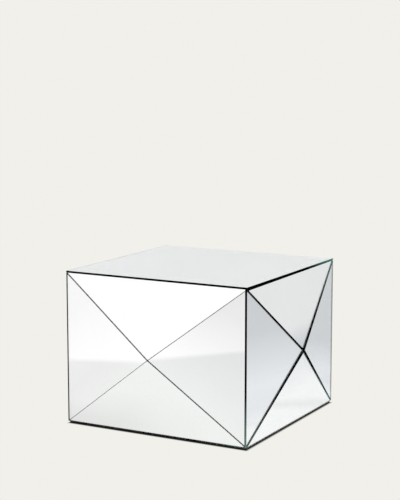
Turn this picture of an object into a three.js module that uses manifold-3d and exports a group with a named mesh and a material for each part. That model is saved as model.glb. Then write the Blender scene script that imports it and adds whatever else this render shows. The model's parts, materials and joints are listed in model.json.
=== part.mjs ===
// A square side table faced in mirror: a flat plate on top, and on each side four triangular plates
// that rise to a shallow point. Millimetres, +Z up, origin on the floor under the middle of the table.
// The front faces -Y. Each side is drawn as the front side is, then turned about Z.
import * as THREE from 'three';
import { ConvexGeometry } from 'three/addons/geometries/ConvexGeometry.js';
import { mergeVertices } from 'three/addons/utils/BufferGeometryUtils.js';
import Module from 'manifold-3d';

// Overall sizes
const TABLE_WIDTH = 590;
const TABLE_DEPTH = 590;
const TABLE_HEIGHT = 457;
const POINT_RISE = 38; // how far the middle of a side stands out from its edges

// Mirror plates
const GLASS_THICKNESS = 5;
const PLATE_SEAM = 0.4; // the least gap between two plates
const GLASS_ABOVE_FLOOR = 6;

// Boards behind the plates
const GLUE_LINE = 0.3; // between a plate or a board and what it is bonded to
const FACET_BOARD_THICKNESS = 9;
const APEX_BLOCK_SIZE = 120;

// Carcass
const DECK_THICKNESS = 18;
const BASE_THICKNESS = 18;
const PANEL_THICKNESS = 12;
const POST_SIZE = 30;
const SHEET_THICKNESS = 5;
const SHEET_SETBACK = 4; // from the lower edge of the mirrors

// Levelling feet
const FOOT_INSET = 60; // from the outside of the carcass to the middle of a foot
const PAD_RADIUS = 14;
const PAD_HEIGHT = 6.5;
const PAD_EDGE = 1; // bevel round the pad
const PAD_FLOOR = 3; // pad material under the stud
const STUD_RADIUS = 4;
const STUD_LENGTH = 42;
const HEX_ACROSS_FLATS = 13;
const HEX_HEIGHT = 4;
const INSERT_WALL = 2;
const RUNNING_GAP = 0.35; // round the stud, in the pad and in the insert
const RECESS_CLEARANCE = 2; // round the pad, in the sheet and in the base board
const ROUND_STEPS = 32;

const CUT_MARGIN = 1; // how far a cutter runs past the face it opens
const TOLERANCE = 1e-6;

// Heights
const platesTop = TABLE_HEIGHT - GLASS_THICKNESS - PLATE_SEAM;
const platesBottom = GLASS_ABOVE_FLOOR;
const platesMiddle = (platesTop + platesBottom) / 2;
const deckTop = TABLE_HEIGHT - GLASS_THICKNESS - GLUE_LINE;
const baseBottom = platesBottom;
const baseTop = baseBottom + BASE_THICKNESS;
const sheetTop = baseBottom - GLUE_LINE;
const wallBottom = baseTop + GLUE_LINE;
const wallTop = deckTop - DECK_THICKNESS - GLUE_LINE;

// The steepest plate sets how much room plates and boards take behind the edge of a side
const shortestRun = Math.min(TABLE_WIDTH, TABLE_DEPTH, platesTop - platesBottom) / 2;
const steepestCosine = Math.cos(Math.atan(POINT_RISE / shortestRun));
const boardFront = GLASS_THICKNESS + GLUE_LINE;
const boardBack = boardFront + FACET_BOARD_THICKNESS;
const lapAtCorner = GLASS_THICKNESS / steepestCosine + PLATE_SEAM;
const carcassSetback = boardBack / steepestCosine + GLUE_LINE;
const carcassHalfWidth = TABLE_WIDTH / 2 - carcassSetback;
const carcassHalfDepth = TABLE_DEPTH / 2 - carcassSetback;

const FINISHES = {
  mirror: { color: 0xe9eeee, roughness: 0.02, metalness: 1 },
  fibreboard: { color: 0xa98a63, roughness: 0.85, metalness: 0 },
  blackPaint: { color: 0x0d0d0e, roughness: 0.5, metalness: 0 },
  steel: { color: 0xb9bcc0, roughness: 0.35, metalness: 1 },
  brass: { color: 0xb99a55, roughness: 0.35, metalness: 1 },
  nylon: { color: 0x1b1b1c, roughness: 0.6, metalness: 0 },
};

const manifold = await Module();
manifold.setup();

const table = new THREE.Group();

function addPiece(name, finish, geometry, parent = table) {
  const mesh = new THREE.Mesh(geometry, new THREE.MeshStandardMaterial(FINISHES[finish]));
  mesh.name = name;
  parent.add(mesh);
  return mesh;
}

// ---- Solids between planes ----

/** The plane through a point that faces along a direction. */
function planeAt(point, direction) {
  return new THREE.Plane().setFromNormalAndCoplanarPoint(direction.clone().normalize(), point);
}

/** The same plane, moved against the way it faces. */
function movedBack(plane, distance) {
  return new THREE.Plane(plane.normal.clone(), plane.constant + distance);
}

/** The same plane, facing the other way. */
function reversed(plane) {
  return plane.clone().negate();
}

function commonPoint(a, b, c) {
  const across = new THREE.Vector3().crossVectors(b.normal, c.normal);
  const volume = a.normal.dot(across);
  if (Math.abs(volume) < TOLERANCE) return null;
  const point = across.multiplyScalar(-a.constant);
  point.addScaledVector(new THREE.Vector3().crossVectors(c.normal, a.normal), -b.constant);
  point.addScaledVector(new THREE.Vector3().crossVectors(a.normal, b.normal), -c.constant);
  return point.divideScalar(volume);
}

/** The convex solid that lies behind every one of the planes. */
function solidBehind(planes) {
  const corners = [];
  const isCorner = (point) =>
    planes.every((plane) => plane.distanceToPoint(point) < TOLERANCE) &&
    corners.every((corner) => corner.distanceTo(point) > TOLERANCE);
  for (let i = 0; i < planes.length; i += 1) {
    for (let j = i + 1; j < planes.length; j += 1) {
      for (let k = j + 1; k < planes.length; k += 1) {
        const point = commonPoint(planes[i], planes[j], planes[k]);
        if (point && isCorner(point)) corners.push(point);
      }
    }
  }
  return new ConvexGeometry(corners);
}

// ---- The four sides ----

/** Where the plates of a side lie. halfWidth is half its length and outward its distance from the middle. */
function layOutSide(halfWidth, outward) {
  const corners = [
    new THREE.Vector3(-halfWidth, -outward, platesTop),
    new THREE.Vector3(halfWidth, -outward, platesTop),
    new THREE.Vector3(halfWidth, -outward, platesBottom),
    new THREE.Vector3(-halfWidth, -outward, platesBottom),
  ];
  const point = new THREE.Vector3(0, -outward - POINT_RISE, platesMiddle);
  const facets = ['upper', 'right', 'lower', 'left'].map((name, index) => {
    const start = corners[index];
    const end = corners[(index + 1) % corners.length];
    const face = new THREE.Plane().setFromCoplanarPoints(end, start, point);
    return { name, start, end, face };
  });
  return { halfWidth, outward, point, facets };
}

/** The plane through the point of a side that shares the space evenly between two of its facets. */
function ridgeMitre(side, facet, other) {
  const towards = other.face.normal.clone().sub(facet.face.normal);
  return planeAt(side.point, towards);
}

/** The square-cut edge of a plate towards another one, clear of it at its back. */
function ridgeEdge(side, facet, other) {
  const mitre = ridgeMitre(side, facet, other);
  const lean = mitre.normal.dot(facet.face.normal); // sine of half the angle between the two plates
  const along = Math.sqrt(1 - lean * lean);
  const edge = mitre.normal.clone().addScaledVector(facet.face.normal, -lean);
  const setback = GLASS_THICKNESS * Math.abs(lean) / along + PLATE_SEAM / 2 / along;
  return movedBack(planeAt(side.point, edge), setback);
}

/** The square-cut edge of a plate along the outside of the side. */
function outerEdge(facet) {
  const edge = new THREE.Vector3().subVectors(facet.end, facet.start);
  return planeAt(facet.start, edge.cross(facet.face.normal).negate());
}

/** A mirror plate. Its left end laps the next side's plates, and its right end stops behind them. */
function mirrorPlate(side, facet, others) {
  const lappedEnd = new THREE.Vector3(side.halfWidth - lapAtCorner, 0, 0);
  return solidBehind([
    facet.face,
    reversed(movedBack(facet.face, GLASS_THICKNESS)),
    outerEdge(facet),
    ...others.map((other) => ridgeEdge(side, facet, other)),
    planeAt(lappedEnd, new THREE.Vector3(1, 0, 0)),
  ]);
}

/** The board behind a plate, mitred along the ridges and at the corners of the table. */
function facetBoard(side, facet, others) {
  const mitres = others.map((other) => ridgeMitre(side, facet, other));
  for (const end of [-1, 1]) {
    const corner = new THREE.Vector3(end * side.halfWidth, -side.outward, 0);
    mitres.push(planeAt(corner, new THREE.Vector3(end, 1, 0)));
  }
  return solidBehind([
    movedBack(facet.face, boardFront),
    reversed(movedBack(facet.face, boardBack)),
    ...mitres.map((mitre) => movedBack(mitre, PLATE_SEAM / 2)),
    planeAt(new THREE.Vector3(0, 0, platesTop), new THREE.Vector3(0, 0, 1)),
    planeAt(new THREE.Vector3(0, 0, platesBottom), new THREE.Vector3(0, 0, -1)),
  ]);
}

/** The block on the carcass that carries the tips of the four boards of a side. */
function apexBlock(side) {
  const half = APEX_BLOCK_SIZE / 2;
  const carcassFace = new THREE.Vector3(0, carcassSetback - GLUE_LINE - side.outward, 0);
  return solidBehind([
    ...side.facets.map((facet) => movedBack(facet.face, boardBack + GLUE_LINE)),
    planeAt(carcassFace, new THREE.Vector3(0, 1, 0)),
    planeAt(new THREE.Vector3(half, 0, 0), new THREE.Vector3(1, 0, 0)),
    planeAt(new THREE.Vector3(-half, 0, 0), new THREE.Vector3(-1, 0, 0)),
    planeAt(new THREE.Vector3(0, 0, platesMiddle + half), new THREE.Vector3(0, 0, 1)),
    planeAt(new THREE.Vector3(0, 0, platesMiddle - half), new THREE.Vector3(0, 0, -1)),
  ]);
}

function addSide(name, quarterTurns, halfWidth, outward) {
  const side = layOutSide(halfWidth, outward);
  const group = new THREE.Group();
  group.rotation.z = quarterTurns * Math.PI / 2;
  table.add(group);
  for (const facet of side.facets) {
    const others = side.facets.filter((other) => other !== facet);
    addPiece(`${name}_mirror_${facet.name}`, 'mirror', mirrorPlate(side, facet, others), group);
    addPiece(`${name}_board_${facet.name}`, 'blackPaint', facetBoard(side, facet, others), group);
  }
  addPiece(`${name}_apex_block`, 'fibreboard', apexBlock(side), group);
}

addSide('front', 0, TABLE_WIDTH / 2, TABLE_DEPTH / 2);
addSide('right', 1, TABLE_DEPTH / 2, TABLE_WIDTH / 2);
addSide('back', 2, TABLE_WIDTH / 2, TABLE_DEPTH / 2);
addSide('left', 3, TABLE_DEPTH / 2, TABLE_WIDTH / 2);

// ---- Top mirror and carcass ----

/** An upright box from its lowest and highest corners. */
function boxBetween(low, high) {
  const size = new THREE.Vector3().subVectors(high, low);
  const middle = new THREE.Vector3().addVectors(low, high).divideScalar(2);
  return new THREE.BoxGeometry(size.x, size.y, size.z).translate(middle.x, middle.y, middle.z);
}

/** A flat board centred on the table. */
function flatBoard(halfWidth, halfDepth, bottom, top) {
  return boxBetween(
    new THREE.Vector3(-halfWidth, -halfDepth, bottom),
    new THREE.Vector3(halfWidth, halfDepth, top),
  );
}

/** A closed three.js geometry as a solid that can be cut. */
function solidFrom(geometry) {
  const bare = geometry.clone();
  bare.deleteAttribute('normal');
  bare.deleteAttribute('uv');
  const merged = mergeVertices(bare);
  return new manifold.Manifold(new manifold.Mesh({
    numProp: 3,
    vertProperties: new Float32Array(merged.attributes.position.array),
    triVerts: new Uint32Array(merged.index.array),
  }));
}

function geometryFrom(solid) {
  const mesh = solid.getMesh();
  const geometry = new THREE.BufferGeometry();
  geometry.setAttribute('position', new THREE.BufferAttribute(mesh.vertProperties, 3));
  geometry.setIndex(new THREE.BufferAttribute(mesh.triVerts, 1));
  geometry.computeVertexNormals();
  return geometry;
}

/** A round upright body from its outline, as pairs of radius and height. */
function turned(outline) {
  const points = outline.map(([radius, height]) => new THREE.Vector2(radius, height));
  return new THREE.LatheGeometry(points, ROUND_STEPS).rotateX(Math.PI / 2);
}

function uprightRod(radius, bottom, top) {
  return turned([[0, bottom], [radius, bottom], [radius, top], [0, top]]);
}

/** Runs an action for each corner of the table, with its name and the signs of its x and y. */
function atEachCorner(action) {
  action('front_left', -1, -1);
  action('front_right', 1, -1);
  action('back_right', 1, 1);
  action('back_left', -1, 1);
}

function cutAtFeet(geometry, cutter) {
  let solid = solidFrom(geometry);
  atEachCorner((name, xSign, ySign) => {
    const x = xSign * (carcassHalfWidth - FOOT_INSET);
    const y = ySign * (carcassHalfDepth - FOOT_INSET);
    solid = solid.subtract(solidFrom(cutter.clone().translate(x, y, 0)));
  });
  return geometryFrom(solid);
}

const recessRadius = PAD_RADIUS + RECESS_CLEARANCE;
const hexBottom = PAD_HEIGHT + RUNNING_GAP;
const recessTop = hexBottom + HEX_HEIGHT + RUNNING_GAP;
const insertRadius = STUD_RADIUS + RUNNING_GAP + INSERT_WALL;

const topMirror = flatBoard(
  TABLE_WIDTH / 2, TABLE_DEPTH / 2, TABLE_HEIGHT - GLASS_THICKNESS, TABLE_HEIGHT,
);
addPiece('top_mirror', 'mirror', topMirror);

const deck = flatBoard(carcassHalfWidth, carcassHalfDepth, deckTop - DECK_THICKNESS, deckTop);
addPiece('deck_board', 'fibreboard', deck);

const bottomSheet = flatBoard(
  TABLE_WIDTH / 2 - SHEET_SETBACK,
  TABLE_DEPTH / 2 - SHEET_SETBACK,
  sheetTop - SHEET_THICKNESS,
  sheetTop,
);
const padHole = uprightRod(recessRadius, 0, sheetTop + CUT_MARGIN);
addPiece('bottom_sheet', 'blackPaint', cutAtFeet(bottomSheet, padHole));

const footHole = turned([
  [0, 0],
  [recessRadius, 0],
  [recessRadius, recessTop],
  [insertRadius + GLUE_LINE, recessTop],
  [insertRadius + GLUE_LINE, baseTop + CUT_MARGIN],
  [0, baseTop + CUT_MARGIN],
]);
const base = flatBoard(carcassHalfWidth, carcassHalfDepth, baseBottom, baseTop);
addPiece('base_board', 'fibreboard', cutAtFeet(base, footHole));

/** The front and back panels run the full width, and the side panels fit between them. */
function addWalls() {
  const betweenPanels = carcassHalfDepth - PANEL_THICKNESS - GLUE_LINE;
  for (const [name, side] of [['front', -1], ['back', 1]]) {
    const faces = [side * carcassHalfDepth, side * (carcassHalfDepth - PANEL_THICKNESS)];
    addPiece(`${name}_panel`, 'fibreboard', boxBetween(
      new THREE.Vector3(-carcassHalfWidth, Math.min(...faces), wallBottom),
      new THREE.Vector3(carcassHalfWidth, Math.max(...faces), wallTop),
    ));
  }
  for (const [name, side] of [['left', -1], ['right', 1]]) {
    const faces = [side * carcassHalfWidth, side * (carcassHalfWidth - PANEL_THICKNESS)];
    addPiece(`${name}_panel`, 'fibreboard', boxBetween(
      new THREE.Vector3(Math.min(...faces), -betweenPanels, wallBottom),
      new THREE.Vector3(Math.max(...faces), betweenPanels, wallTop),
    ));
  }
}

function addPost(name, xSign, ySign) {
  const behindPanel = PANEL_THICKNESS + GLUE_LINE + POST_SIZE / 2;
  const height = wallTop - wallBottom;
  const post = new THREE.BoxGeometry(POST_SIZE, POST_SIZE, height);
  const mesh = addPiece(`${name}_corner_post`, 'fibreboard', post);
  mesh.position.set(
    xSign * (carcassHalfWidth - behindPanel),
    ySign * (carcassHalfDepth - behindPanel),
    wallBottom + height / 2,
  );
}

addWalls();
atEachCorner(addPost);

// ---- Levelling feet, drawn fully screwed in ----

/** A round pad with a socket that the end of the stud turns in. */
function padShape() {
  const socket = STUD_RADIUS + RUNNING_GAP;
  return turned([
    [0, 0],
    [PAD_RADIUS - PAD_EDGE, 0],
    [PAD_RADIUS, PAD_EDGE],
    [PAD_RADIUS, PAD_HEIGHT - PAD_EDGE],
    [PAD_RADIUS - PAD_EDGE, PAD_HEIGHT],
    [socket, PAD_HEIGHT],
    [socket, PAD_FLOOR],
    [0, PAD_FLOOR],
  ]);
}

/** A plain rod for the threaded stud, with the hexagon that a spanner turns. */
function studShape() {
  const bottom = PAD_FLOOR + RUNNING_GAP;
  const rod = uprightRod(STUD_RADIUS, bottom, bottom + STUD_LENGTH);
  const hexRadius = HEX_ACROSS_FLATS / Math.sqrt(3);
  const hex = new THREE.CylinderGeometry(hexRadius, hexRadius, HEX_HEIGHT, 6);
  hex.rotateX(Math.PI / 2).translate(0, 0, hexBottom + HEX_HEIGHT / 2);
  return geometryFrom(solidFrom(rod).add(solidFrom(hex)));
}

function insertShape() {
  const bore = STUD_RADIUS + RUNNING_GAP;
  const bottom = recessTop + GLUE_LINE;
  return turned([
    [bore, bottom],
    [insertRadius, bottom],
    [insertRadius, baseTop],
    [bore, baseTop],
    [bore, bottom],
  ]);
}

function addFoot(name, xSign, ySign) {
  const foot = new THREE.Group();
  foot.position.set(
    xSign * (carcassHalfWidth - FOOT_INSET),
    ySign * (carcassHalfDepth - FOOT_INSET),
    0,
  );
  table.add(foot);
  addPiece(`${name}_foot_pad`, 'nylon', padShape(), foot);
  addPiece(`${name}_foot_stud`, 'steel', studShape(), foot);
  addPiece(`${name}_foot_insert`, 'brass', insertShape(), foot);
}

atEachCorner(addFoot);

export default table;
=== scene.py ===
"""The looks of the mirrored side table: mirror glass, board edges, feet, studio and camera."""
import json
import math

import bmesh
import bpy
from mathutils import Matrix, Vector


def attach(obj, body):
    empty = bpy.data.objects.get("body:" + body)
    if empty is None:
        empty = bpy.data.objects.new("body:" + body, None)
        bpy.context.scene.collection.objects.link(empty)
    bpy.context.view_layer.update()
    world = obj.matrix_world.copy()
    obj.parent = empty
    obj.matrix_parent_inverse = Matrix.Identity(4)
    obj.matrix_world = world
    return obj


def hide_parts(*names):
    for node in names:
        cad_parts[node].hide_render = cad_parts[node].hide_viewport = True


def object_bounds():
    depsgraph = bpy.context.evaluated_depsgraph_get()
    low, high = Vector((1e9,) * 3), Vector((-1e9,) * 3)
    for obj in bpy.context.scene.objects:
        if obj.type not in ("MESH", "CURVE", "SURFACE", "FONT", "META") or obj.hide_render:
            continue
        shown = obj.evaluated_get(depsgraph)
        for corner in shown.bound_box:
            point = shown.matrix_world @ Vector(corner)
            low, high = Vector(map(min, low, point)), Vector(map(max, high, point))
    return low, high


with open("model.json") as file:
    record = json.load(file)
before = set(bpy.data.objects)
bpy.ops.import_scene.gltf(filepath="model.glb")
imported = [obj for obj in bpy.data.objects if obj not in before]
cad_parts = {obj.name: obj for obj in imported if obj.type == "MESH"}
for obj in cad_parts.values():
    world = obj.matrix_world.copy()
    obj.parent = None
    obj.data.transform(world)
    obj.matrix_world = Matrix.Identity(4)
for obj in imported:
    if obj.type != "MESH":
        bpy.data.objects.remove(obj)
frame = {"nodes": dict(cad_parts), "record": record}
cad_low, cad_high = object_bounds()

SIDES = ("front", "right", "back", "left")
FACETS = ("upper", "right", "lower", "left")


def corners_of(node):
    """Where the corners of a CAD node are."""
    return [vert.co for vert in frame["nodes"][node].data.vertices]


# The block that the mirrors make, from the frame
REACH = max(corner.x for corner in corners_of("top_mirror"))  # half its width
TOP = cad_high.z
FOOT = min(corner.z for corner in corners_of("right_mirror_lower"))  # where the glass ends

# Mirror plates
SAME_PLACE = 1e-6  # corners closer than this are one corner
ON_PLANE = 1e-7  # a corner closer than this to a cut lies on it
ARRIS_DEPTH = 0.0003  # how much the narrow bevel along an edge takes off its corner
SEAM_ARRIS_DEPTH = 0.0006  # the same along an open seam
CORNER_OPENING = 0.0005  # how far an edge stands back from an open seam, at the corner of its side
POINT_OPENINGS = {  # the same at the point, for a seam to a corner that is (above it, right of it)
    (True, False): 0.0012,
    (True, True): 0.0044,
    (False, False): 0.0040,
    (False, True): 0.0032,
}
OPEN_SIDES = ("right", "back")  # the sides whose seams widen towards the point
DROPPED_PLATE = "right_mirror_upper"  # the plate whose top edge runs down to the front corner
TOP_OPENING = 0.0030  # how far it has dropped there
CLEAR_RIMS = (("right", "right"), ("back", "left"))  # plates whose upright rim isn't blackened
FLAT_ENOUGH = math.radians(1)  # faces closer than this to one plane are one face
SAME_WAY = 0.99  # faces whose directions agree this well look the same way
HALF_WAY = 0.3  # an arris looks at least this much the way the front does
SLANT = 0.2  # an edge is slanting if it leans at least this much both ways
GLASS, SEAM_ARRIS, RIM_ARRIS, SEAM, RIM, SILVER = range(6)  # the material slots of a plate

# Painted light in the edges of the glass
TIP_CORE = 0.02  # metres around a corner where the painted colour of the light is full
LIT_TIPS = (  # the corners where light gets in, the colour of its painted light, and how many metres it reaches
    ((REACH, REACH, TOP), (76, 136, 126), 0.18),
    ((REACH, REACH, FOOT), (52, 142, 132), 0.22),
    ((REACH, -REACH, FOOT), (100, 128, 120), 0.15),
)

# Camera
AZIMUTH = math.radians(28.66)
ELEVATION = math.radians(8.54)
DISTANCE = 4.116
AIM_RIGHT = -0.0103
AIM_UP = 0.2686
LENS = 98.0


# ---- Small helpers ----

def linear(red, green, blue):
    """A colour given as 0 to 255 on screen, as Blender's linear colour."""
    def channel(value):
        share = value / 255
        return share / 12.92 if share <= 0.04045 else ((share + 0.055) / 1.055) ** 2.4
    return (channel(red), channel(green), channel(blue), 1.0)


def new_material(name):
    material = bpy.data.materials.new(name)
    material.use_nodes = True
    nodes = material.node_tree.nodes
    nodes.clear()
    output = nodes.new("ShaderNodeOutputMaterial")
    return material, nodes, material.node_tree.links, output


def principled(nodes, links, output, **values):
    """A Principled shader on the output. Values are its inputs, with _ for a space."""
    shader = nodes.new("ShaderNodeBsdfPrincipled")
    for name, value in values.items():
        shader.inputs[name.replace("_", " ")].default_value = value
    links.new(shader.outputs["BSDF"], output.inputs["Surface"])
    return shader


def noise(nodes, links, scale, detail=3.0):
    """A noise pattern fixed to the object, with scale in repeats per metre."""
    place = nodes.new("ShaderNodeTexCoord")
    pattern = nodes.new("ShaderNodeTexNoise")
    pattern.inputs["Scale"].default_value = scale
    pattern.inputs["Detail"].default_value = detail
    links.new(place.outputs["Object"], pattern.inputs["Vector"])
    return pattern.outputs["Fac"]


def blend_colours(nodes, links, factor, low, high, start=0.35, end=0.65):
    """A colour that goes from low to high as the factor goes from start to end."""
    ramp = nodes.new("ShaderNodeValToRGB")
    ramp.color_ramp.elements[0].position = start
    ramp.color_ramp.elements[0].color = low
    ramp.color_ramp.elements[1].position = end
    ramp.color_ramp.elements[1].color = high
    links.new(factor, ramp.inputs["Fac"])
    return ramp.outputs["Color"]


def blend_values(nodes, links, factor, low, high, start=0.3, end=0.7):
    """A number that goes from low to high as the factor goes from start to end."""
    spread = nodes.new("ShaderNodeMapRange")
    spread.inputs["From Min"].default_value = start
    spread.inputs["From Max"].default_value = end
    spread.inputs["To Min"].default_value = low
    spread.inputs["To Max"].default_value = high
    links.new(factor, spread.inputs["Value"])
    return spread.outputs["Result"]


def combine(nodes, links, operation, first, second):
    """One number from two; either may be a socket or a plain number."""
    maths = nodes.new("ShaderNodeMath")
    maths.operation = operation
    for place, value in enumerate((first, second)):
        if isinstance(value, bpy.types.NodeSocket):
            links.new(value, maths.inputs[place])
        else:
            maths.inputs[place].default_value = value
    return maths.outputs["Value"]


def mix_colours(nodes, links, factor, low, high, way="MIX"):
    """A colour made from two; either may be a socket or a plain colour."""
    mix = nodes.new("ShaderNodeMix")
    mix.data_type = "RGBA"
    mix.blend_type = way
    links.new(factor, mix.inputs["Factor"])
    for name, colour in (("A", low), ("B", high)):
        socket = next(s for s in mix.inputs if s.name == name and s.type == "RGBA")
        if isinstance(colour, bpy.types.NodeSocket):
            links.new(colour, socket)
        else:
            socket.default_value = colour
    return next(s for s in mix.outputs if s.type == "RGBA")


def bump(nodes, links, height, strength, distance):
    relief = nodes.new("ShaderNodeBump")
    relief.inputs["Strength"].default_value = strength
    relief.inputs["Distance"].default_value = distance
    links.new(height, relief.inputs["Height"])
    return relief.outputs["Normal"]


# ---- Materials ----

def clear_glass():
    """The front of a plate: clear float glass, slightly wavy as a large pane is."""
    material, nodes, links, output = new_material("mirror_glass_front")
    shader = principled(
        nodes, links, output, Base_Color=(0.99, 0.993, 0.99, 1.0), Roughness=0.0,
        IOR=1.5, Transmission_Weight=1.0,
    )
    waves = noise(nodes, links, 2.5, detail=1.0)
    links.new(bump(nodes, links, waves, 0.03, 0.001), shader.inputs["Normal"])
    return material


def dark_edge():
    """A ground edge sealed with black, with painted light: the green of the glass where light gets in
    at a tip is painted into its colour.
    """
    material, nodes, links, output = new_material("mirror_edge_dark")
    shader = principled(nodes, links, output, Roughness=0.6, Specular_IOR_Level=0.0)
    cloud = noise(nodes, links, 14.0)
    colour = blend_colours(nodes, links, cloud, linear(1, 3, 3), linear(5, 9, 8))
    place = nodes.new("ShaderNodeTexCoord")
    # painted light: the edge takes the green of lit glass near each of these corners
    for corner, light, reach in LIT_TIPS:
        away = nodes.new("ShaderNodeVectorMath")
        away.operation = "DISTANCE"
        away.inputs[1].default_value = corner
        links.new(place.outputs["Object"], away.inputs[0])
        near = blend_values(nodes, links, away.outputs["Value"], 1.0, 0.0, TIP_CORE, reach)
        colour = mix_colours(nodes, links, near, colour, linear(*light))
    links.new(colour, shader.inputs["Base Color"])
    grain = noise(nodes, links, 1500.0, detail=1.0)
    links.new(bump(nodes, links, grain, 0.2, 0.0001), shader.inputs["Normal"])
    return material


def grey_edge():
    """The finely ground edge of a close seam, which stays grey behind the glass."""
    material, nodes, links, output = new_material("mirror_edge_grey")
    shader = principled(nodes, links, output, Roughness=0.5, Specular_IOR_Level=0.2)
    cloud = noise(nodes, links, 14.0)
    colour = blend_colours(nodes, links, cloud, linear(40, 48, 46), linear(66, 76, 73))
    links.new(colour, shader.inputs["Base Color"])
    grain = noise(nodes, links, 1500.0, detail=1.0)
    links.new(bump(nodes, links, grain, 0.2, 0.0001), shader.inputs["Normal"])
    return material


def silvering():
    """The silver layer on the back of a plate, seen through the glass."""
    material, nodes, links, output = new_material("mirror_silver")
    shader = principled(nodes, links, output, Roughness=0.0, Metallic=1.0)
    cloud = noise(nodes, links, 3.0, detail=2.0)
    colour = blend_colours(nodes, links, cloud, linear(249, 250, 249), linear(252, 252, 252))
    links.new(colour, shader.inputs["Base Color"])
    return material


def fibreboard():
    material, nodes, links, output = new_material("fibreboard")
    shader = principled(nodes, links, output, Roughness=0.85)
    fibres = noise(nodes, links, 900.0, detail=4.0)
    colour = blend_colours(nodes, links, fibres, linear(150, 116, 80), linear(186, 150, 110))
    links.new(colour, shader.inputs["Base Color"])
    links.new(bump(nodes, links, fibres, 0.3, 0.0002), shader.inputs["Normal"])
    return material


def stained_board():
    """The boards behind the mirrors, stained black so that the seams look dark."""
    material, nodes, links, output = new_material("stained_fibreboard")
    shader = principled(nodes, links, output, Roughness=0.9, Specular_IOR_Level=0.05)
    fibres = noise(nodes, links, 900.0, detail=4.0)
    colour = blend_colours(nodes, links, fibres, linear(5, 5, 5), linear(15, 14, 13))
    links.new(colour, shader.inputs["Base Color"])
    links.new(bump(nodes, links, fibres, 0.3, 0.0002), shader.inputs["Normal"])
    return material


def black_paint():
    material, nodes, links, output = new_material("black_paint")
    shader = principled(nodes, links, output, Specular_IOR_Level=0.1)
    brushed = noise(nodes, links, 260.0)
    colour = blend_colours(nodes, links, brushed, linear(3, 3, 3), linear(10, 10, 11))
    links.new(colour, shader.inputs["Base Color"])
    links.new(blend_values(nodes, links, brushed, 0.45, 0.65), shader.inputs["Roughness"])
    links.new(bump(nodes, links, brushed, 0.25, 0.0002), shader.inputs["Normal"])
    return material


def zinc_steel():
    material, nodes, links, output = new_material("zinc_steel")
    shader = principled(nodes, links, output, Metallic=1.0)
    cloud = noise(nodes, links, 300.0)
    colour = blend_colours(nodes, links, cloud, linear(176, 180, 186), linear(214, 216, 214))
    links.new(colour, shader.inputs["Base Color"])
    links.new(blend_values(nodes, links, cloud, 0.25, 0.45), shader.inputs["Roughness"])
    return material


def turned_brass():
    material, nodes, links, output = new_material("turned_brass")
    shader = principled(nodes, links, output, Metallic=1.0)
    cloud = noise(nodes, links, 400.0)
    colour = blend_colours(nodes, links, cloud, linear(186, 152, 84), linear(214, 184, 116))
    links.new(colour, shader.inputs["Base Color"])
    links.new(blend_values(nodes, links, cloud, 0.25, 0.4), shader.inputs["Roughness"])
    return material


def nylon():
    material, nodes, links, output = new_material("black_nylon")
    shader = principled(nodes, links, output)
    grain = noise(nodes, links, 1800.0, detail=2.0)
    colour = blend_colours(nodes, links, grain, linear(20, 20, 21), linear(34, 34, 35))
    links.new(colour, shader.inputs["Base Color"])
    links.new(blend_values(nodes, links, grain, 0.5, 0.65), shader.inputs["Roughness"])
    links.new(bump(nodes, links, grain, 0.3, 0.0001), shader.inputs["Normal"])
    return material


# ---- Mirror plates ----

def cut_away(plate, point, normal):
    """Cuts off what lies beyond a plane and closes the solid again."""
    bmesh.ops.bisect_plane(
        plate, geom=plate.verts[:] + plate.edges[:] + plate.faces[:], dist=ON_PLANE,
        plane_co=point, plane_no=normal, clear_outer=True,
    )
    bmesh.ops.holes_fill(plate, edges=[edge for edge in plate.edges if edge.is_boundary])


def find_front(plate, outward):
    """The mirror face: of the two largest faces, the one that looks outwards."""
    largest = sorted(plate.faces, key=lambda face: face.calc_area(), reverse=True)[:2]
    return max(largest, key=lambda face: face.normal.dot(outward))


def is_seam(normal, along):
    """True for an edge face that runs slanting from a corner of a side to its point."""
    return abs(normal.z) > SLANT and abs(normal.dot(along)) > SLANT


def open_seams(plate, along, tip):
    """Trims the slanting edges, so that a seam widens from the corner of its side to the point."""
    cuts = []
    for face in plate.faces:
        if is_seam(face.normal, along):
            corners = sorted(face.verts, key=lambda vert: (vert.co - tip).length)
            near, far = corners[0].co.copy(), corners[-1].co.copy()
            way = far - tip
            widening = POINT_OPENINGS[way.z > 0, way.dot(along) > 0] - CORNER_OPENING
            lean = (near - far).normalized() * (widening / (near - far).length)
            cuts.append((far - face.normal * CORNER_OPENING, (face.normal + lean).normalized()))
    for point, normal in cuts:
        cut_away(plate, point, normal)


def drop_top_edge(plate, along):
    """Cuts the top edge on a slope, from nothing at its far end to TOP_OPENING at its near end."""
    top = max(plate.faces, key=lambda face: face.normal.z)
    corners = sorted(top.verts, key=lambda vert: vert.co.dot(along))
    near, far = corners[0].co.copy(), corners[-1].co.copy()
    slope = Vector((0, 0, 1)) - along * (TOP_OPENING / (far - near).dot(along))
    cut_away(plate, far, slope.normalized())


def grind_arrises(plate, outward, along, opened):
    """Takes the sharp corners off a plate's front and back. Gives the way its front looks."""
    across = find_front(plate, outward).normal.copy()
    cuts = []
    for edge in plate.edges:
        facings = [abs(face.normal.dot(across)) for face in edge.link_faces]
        if max(facings) > SAME_WAY > min(facings):
            lean = sum((face.normal for face in edge.link_faces), Vector()).normalized()
            depth = SEAM_ARRIS_DEPTH if opened and is_seam(lean, along) else ARRIS_DEPTH
            cuts.append((edge.verts[0].co - lean * depth, lean))
    for point, normal in cuts:
        cut_away(plate, point, normal)
    return across


def finish_faces(plate, across, along):
    """Gives each face of a plate its material slot, by the way it looks."""
    for face in plate.faces:
        face.smooth = False
        facing = face.normal.dot(across)
        slanting = is_seam(face.normal, along)
        if facing > SAME_WAY:
            face.material_index = GLASS
        elif facing < -SAME_WAY:
            face.material_index = SILVER
        elif facing > HALF_WAY:
            face.material_index = SEAM_ARRIS if slanting else RIM_ARRIS
        else:
            face.material_index = SEAM if slanting else RIM


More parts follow.
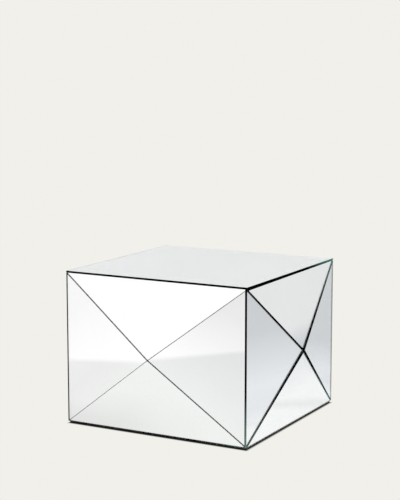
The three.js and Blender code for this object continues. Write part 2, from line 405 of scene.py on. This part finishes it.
def build_plate(node, outward, along, finishes, opened):
    """A mirror plate in the place of a CAD one: edges ground, front clear and back silvered."""
    mesh = bpy.data.meshes.new(node + "_glass")
    plate = bmesh.new()
    plate.from_mesh(frame["nodes"][node].data)
    bmesh.ops.remove_doubles(plate, verts=plate.verts, dist=SAME_PLACE)
    bmesh.ops.dissolve_limit(plate, angle_limit=FLAT_ENOUGH, verts=plate.verts, edges=plate.edges)
    bmesh.ops.recalc_face_normals(plate, faces=plate.faces)
    if opened:
        open_seams(plate, along, outward * cad_high.y + Vector((0, 0, cad_high.z / 2)))
    if node == DROPPED_PLATE:
        drop_top_edge(plate, along)
    across = grind_arrises(plate, outward, along, opened)
    bmesh.ops.recalc_face_normals(plate, faces=plate.faces)
    finish_faces(plate, across, along)
    plate.to_mesh(mesh)
    plate.free()
    for finish in finishes:
        mesh.materials.append(finish)
    piece = bpy.data.objects.new(node + "_glass", mesh)
    bpy.context.scene.collection.objects.link(piece)
    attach(piece, "cabinet")
    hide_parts(node)
    return piece


def seal_near_rims(piece):
    """Blackens the front and right rims of the top, which close the joint over the sides."""
    for face in piece.data.polygons:
        if face.normal.x > HALF_WAY or face.normal.y < -HALF_WAY:
            face.material_index = SEAM


def build_plates():
    glass, dark, grey, silver = clear_glass(), dark_edge(), grey_edge(), silvering()
    directions = {  # the way each side looks, and a way along it
        "front": (Vector((0, -1, 0)), Vector((1, 0, 0))),
        "right": (Vector((1, 0, 0)), Vector((0, 1, 0))),
        "back": (Vector((0, 1, 0)), Vector((1, 0, 0))),
        "left": (Vector((-1, 0, 0)), Vector((0, 1, 0))),
    }
    # The finishes of a plate, in the order of its slots
    fine = (glass, glass, dark, grey, dark, silver)  # close grey seams
    bold = (glass, dark, dark, dark, dark, silver)  # open black seams
    clear = (glass, dark, glass, dark, glass, silver)  # open black seams and clear rims
    top = (glass, glass, glass, dark, glass, silver)  # clear rims; seal_near_rims blackens two
    seal_near_rims(build_plate("top_mirror", Vector((0, 0, 1)), Vector((1, 0, 0)), top, False))
    for side, (outward, along) in directions.items():
        opened = side in OPEN_SIDES
        for facet in FACETS:
            finishes = bold if opened else fine
            if (side, facet) in CLEAR_RIMS:
                finishes = clear
            build_plate(f"{side}_mirror_{facet}", outward, along, finishes, opened)


def is_backing(node):
    """True for the boards and blocks that the side mirrors are fixed to."""
    return node.startswith(SIDES) and ("_board_" in node or "_apex_" in node)


def finish_cad_nodes():
    """Gives every CAD node that stays a finished material, by its slot in the record."""
    finishes = {
        "fibreboard": fibreboard(),
        "black_paint": black_paint(),
        "steel": zinc_steel(),
        "brass": turned_brass(),
        "nylon": nylon(),
    }
    stained = stained_board()
    for part in frame["record"]["subparts"]:
        finish = finishes.get(part["material_slot"])
        if finish is None:
            continue
        if is_backing(part["node"]):
            finish = stained
        for slot in frame["nodes"][part["node"]].material_slots:
            slot.material = finish


# ---- Studio ----

BACKDROP = linear(241, 240, 234)
CONTACT_SHADOW_INSIDE, CONTACT_SHADOW_OUTSIDE = 0.003, 0.005  # metres around the table's edge where the floor gets a painted contact shadow
FLOOR_SIZE = 60.0
FLOOR_TILES = 41  # an odd number keeps the seams between tiles from under the table
MIRROR_GAIN = 1.06  # what the glass and the silver take away is given back to the studio
NEAR_REACH = 3.0  # the end of the ramps for the floor in front of the table and for the walls
FAR_REACH = 9.0  # the end of the ramp for the floor to the right and behind
SCREEN_LEFT, SCREEN_FRONT = 0.573, 0.819  # the way from the table to the bright screen
SCREEN_NEAR, SCREEN_FULL = 1.17, 1.24  # metres that way to where the screen's light starts
ACROSS_START = -0.7  # metres to the right of that way where the next two ramps start
PALE_FLOOR = (  # metres to the right of the start, and the painted light and shade of the floor near the table
    (0.3, 239, 239, 239),
    (0.55, 234, 234, 234),
    (0.75, 241, 242, 241),
    (1.1, 239, 240, 239),
    (1.5, 226, 227, 228),
)
SCREEN = (  # metres to the right of the start, and the light of the screen, painted on the floor
    (0.25, 247, 247, 247),
    (0.6, 255, 255, 255),
    (1.3, 253, 253, 253),
    (1.8, 233, 233, 233),
)
FOOT_SHADE = (  # metres in front of the table, and how much light reaches the floor in its painted shadow
    (0.035, 241, 241, 241),
    (0.1, 248, 248, 248),
    (0.2, 255, 255, 255),
)
SHADE_END = 0.15  # metres right and left of the middle where the painted shade in front fades out
SHADE_STREAK_SLOPE = 2.2  # the painted streak of shade on the floor beside the table leans this much
SHADE_STREAK_NEAR, SHADE_STREAK_GONE = 0.1, 0.2  # metres from the table where the painted streak of shade fades out
SHADE_STREAK = (  # metres across the painted streak of shade, and how much light reaches the floor
    (0.84, 255, 255, 255),
    (0.93, 243, 243, 243),
    (1.03, 255, 255, 255),
)
NORTH_REACH = 1.2  # metres behind the table's middle to where the floor's shade stops changing
COOL_FLOOR = (  # metres to the right of the table or behind it, and the painted light and shade there
    (0.1, 245, 246, 246),
    (0.26, 227, 230, 233),
    (0.45, 229, 232, 235),
    (1.0, 204, 207, 210),
    (1.5, 202, 205, 208),
    (2.5, 228, 229, 230),
)
SIDES_MEET = 0.1  # metres either side of the line where the pale and the cool floor meet
WALL_SHIFT = 1.5  # brings the front left of the room to about 0 on the ramp for the walls
WALLS = (  # from the front left, over the sides, to the back right
    (1.2, 255, 255, 255),
    (1.6, 243, 244, 245),
    (3.0, 232, 232, 232),
)


def shade_ramp(nodes, links, value, stops, reach):
    """A colour that changes with a number from 0 to reach. Stops are (number, red, green, blue).

    The ramp runs over the square root of the number, so stops near 0 can lie close together.
    """
    root = combine(nodes, links, "SQRT", combine(nodes, links, "DIVIDE", value, reach), 0.0)
    share = combine(nodes, links, "MAXIMUM", root, 0.0)
    ramp = nodes.new("ShaderNodeValToRGB")
    points = ramp.color_ramp.elements
    while len(points) < len(stops):
        points.new(0.5)
    for point, (place, *colour) in zip(points, stops):
        point.position = math.sqrt(place / reach)
        point.color = linear(*colour)
    links.new(share, ramp.inputs["Fac"])
    return ramp.outputs["Color"]


def glow(nodes, links, colour, strength):
    light = nodes.new("ShaderNodeEmission")
    light.inputs["Strength"].default_value = strength
    if isinstance(colour, bpy.types.NodeSocket):
        links.new(colour, light.inputs["Color"])
    else:
        light.inputs["Color"].default_value = colour
    return light.outputs["Emission"]


def seen_or_reflected(nodes, links, output, seen, reflected):
    """One shader where the studio is looked at, and another where the mirrors show it."""
    path = nodes.new("ShaderNodeLightPath")
    choice = nodes.new("ShaderNodeMixShader")
    links.new(path.outputs["Is Camera Ray"], choice.inputs["Fac"])
    links.new(reflected, choice.inputs[1])
    links.new(seen, choice.inputs[2])
    links.new(choice.outputs["Shader"], output.inputs["Surface"])


def weighted(nodes, links, first, first_weight, second, second_weight):
    """The sum of two numbers, each times its weight."""
    return combine(
        nodes, links, "ADD",
        combine(nodes, links, "MULTIPLY", first, first_weight),
        combine(nodes, links, "MULTIPLY", second, second_weight),
    )


def pale_side(nodes, links, east, north):
    """The floor in front of the table and to its left, with painted light and shade, which runs out
    to the painted light of a bright screen.
    """
    towards = weighted(nodes, links, east, -SCREEN_LEFT, north, -SCREEN_FRONT)
    across = weighted(nodes, links, east, SCREEN_FRONT, north, -SCREEN_LEFT)
    along = combine(nodes, links, "SUBTRACT", across, ACROSS_START)
    floor = shade_ramp(nodes, links, along, PALE_FLOOR, NEAR_REACH)
    screen = shade_ramp(nodes, links, along, SCREEN, NEAR_REACH)
    reached = blend_values(nodes, links, towards, 0.0, 1.0, SCREEN_NEAR, SCREEN_FULL)
    lit = mix_colours(nodes, links, reached, floor, screen)
    south = combine(nodes, links, "MULTIPLY", north, -1.0)
    away = combine(nodes, links, "SUBTRACT", south, REACH)
    # painted shadow on the floor in front of the table, stronger to its left
    shade = shade_ramp(nodes, links, away, FOOT_SHADE, NEAR_REACH)
    left = blend_values(nodes, links, east, 1.0, 0.0, -SHADE_END, SHADE_END)
    return mix_colours(nodes, links, left, lit, shade, "MULTIPLY")


def cool_side(nodes, links, east, north):
    """The floor to the right of the table and behind it, with the cooler light of the room painted on
    it.
    """
    behind = combine(nodes, links, "MINIMUM", north, NORTH_REACH)
    far = combine(nodes, links, "MAXIMUM", east, behind)
    away = combine(nodes, links, "SUBTRACT", far, REACH)
    floor = shade_ramp(nodes, links, away, COOL_FLOOR, FAR_REACH)
    # painted shade: a dark streak across the floor beside the table, only near it
    over = weighted(nodes, links, east, SHADE_STREAK_SLOPE, north, 1.0)
    shade_streak = shade_ramp(nodes, links, over, SHADE_STREAK, NEAR_REACH)
    near = blend_values(nodes, links, away, 1.0, 0.0, SHADE_STREAK_NEAR, SHADE_STREAK_GONE)
    return mix_colours(nodes, links, near, floor, shade_streak, "MULTIPLY")


def floor_place(nodes, links):
    """Where a point of the floor lies, in metres to the right of the table's middle and behind it."""
    place = nodes.new("ShaderNodeNewGeometry")
    axes = nodes.new("ShaderNodeSeparateXYZ")
    links.new(place.outputs["Position"], axes.inputs["Vector"])
    return axes.outputs["X"], axes.outputs["Y"]


def floor_seen(nodes, links, east, north):
    """The floor itself: plain, with a painted contact shadow that is black in the narrow gap under
    the table.
    """
    sideways = combine(nodes, links, "ABSOLUTE", east, 0.0)
    lengthways = combine(nodes, links, "ABSOLUTE", north, 0.0)
    far = combine(nodes, links, "MAXIMUM", sideways, lengthways)
    # painted shadow: black under the table, fading to the backdrop just past its edge
    lit = blend_values(nodes, links, far, 0.0, 1.0, REACH - CONTACT_SHADOW_INSIDE, REACH + CONTACT_SHADOW_OUTSIDE)
    return mix_colours(nodes, links, lit, linear(8, 8, 7), BACKDROP)


def floor_mirrored(nodes, links, east, north):
    """The studio floor as the mirrors see it: a glow with painted light and shade that go by the
    place on the floor.
    """
    side = combine(nodes, links, "ADD", east, north)
    share = blend_values(nodes, links, side, 0.0, 1.0, -SIDES_MEET, SIDES_MEET)
    pale = pale_side(nodes, links, east, north)
    cool = cool_side(nodes, links, east, north)
    return mix_colours(nodes, links, share, pale, cool)


def stage_floor():
    """A pale floor that glows, which isn't part of the object: plain apart from a painted contact
    shadow where it is looked at, and with painted light and shade where the mirrors show it.
    """
    material, nodes, links, output = new_material("studio_floor")
    east, north = floor_place(nodes, links)
    seen = glow(nodes, links, floor_seen(nodes, links, east, north), 1.0)
    reflected = glow(nodes, links, floor_mirrored(nodes, links, east, north), MIRROR_GAIN)
    seen_or_reflected(nodes, links, output, seen, reflected)
    mesh = bpy.data.meshes.new("studio_floor")
    tiles = bmesh.new()
    bmesh.ops.create_grid(tiles, x_segments=FLOOR_TILES, y_segments=FLOOR_TILES, size=FLOOR_SIZE / 2)
    tiles.to_mesh(mesh)
    tiles.free()
    mesh.materials.append(material)
    floor = bpy.data.objects.new("studio_floor", mesh)
    bpy.context.scene.collection.objects.link(floor)


def stage_world():
    """A plain backdrop, and around it the room that the mirrors show."""
    world = bpy.data.worlds.new("studio")
    world.use_nodes = True
    nodes, links = world.node_tree.nodes, world.node_tree.links
    nodes.clear()
    output = nodes.new("ShaderNodeOutputWorld")
    place = nodes.new("ShaderNodeTexCoord")
    axes = nodes.new("ShaderNodeSeparateXYZ")
    links.new(place.outputs["Generated"], axes.inputs["Vector"])
    side = combine(nodes, links, "ADD", axes.outputs["X"], axes.outputs["Y"])
    shifted = combine(nodes, links, "ADD", side, WALL_SHIFT)
    shade = shade_ramp(nodes, links, shifted, WALLS, NEAR_REACH)
    seen = glow(nodes, links, BACKDROP, 1.0)
    reflected = glow(nodes, links, shade, MIRROR_GAIN)
    seen_or_reflected(nodes, links, output, seen, reflected)
    bpy.context.scene.world = world
    bpy.context.scene.view_settings.view_transform = "Standard"


def place_camera():
    """Puts the camera in front of the corner between the front and the right side."""
    back = Vector((
        math.sin(AZIMUTH) * math.cos(ELEVATION),
        -math.cos(AZIMUTH) * math.cos(ELEVATION),
        math.sin(ELEVATION),
    ))
    right = Vector((math.cos(AZIMUTH), math.sin(AZIMUTH), 0))
    up = back.cross(right)
    middle = Vector((0, 0, cad_high.z / 2))
    camera = bpy.data.objects.new("camera", bpy.data.cameras.new("camera"))
    camera.data.lens = LENS
    camera.location = middle + back * DISTANCE + right * AIM_RIGHT + up * AIM_UP
    camera.rotation_mode = "QUATERNION"
    camera.rotation_quaternion = (-back).to_track_quat("-Z", "Y")
    bpy.context.scene.collection.objects.link(camera)
    bpy.context.scene.camera = camera


place_camera()
stage_floor()
stage_world()
build_plates()
finish_cad_nodes()
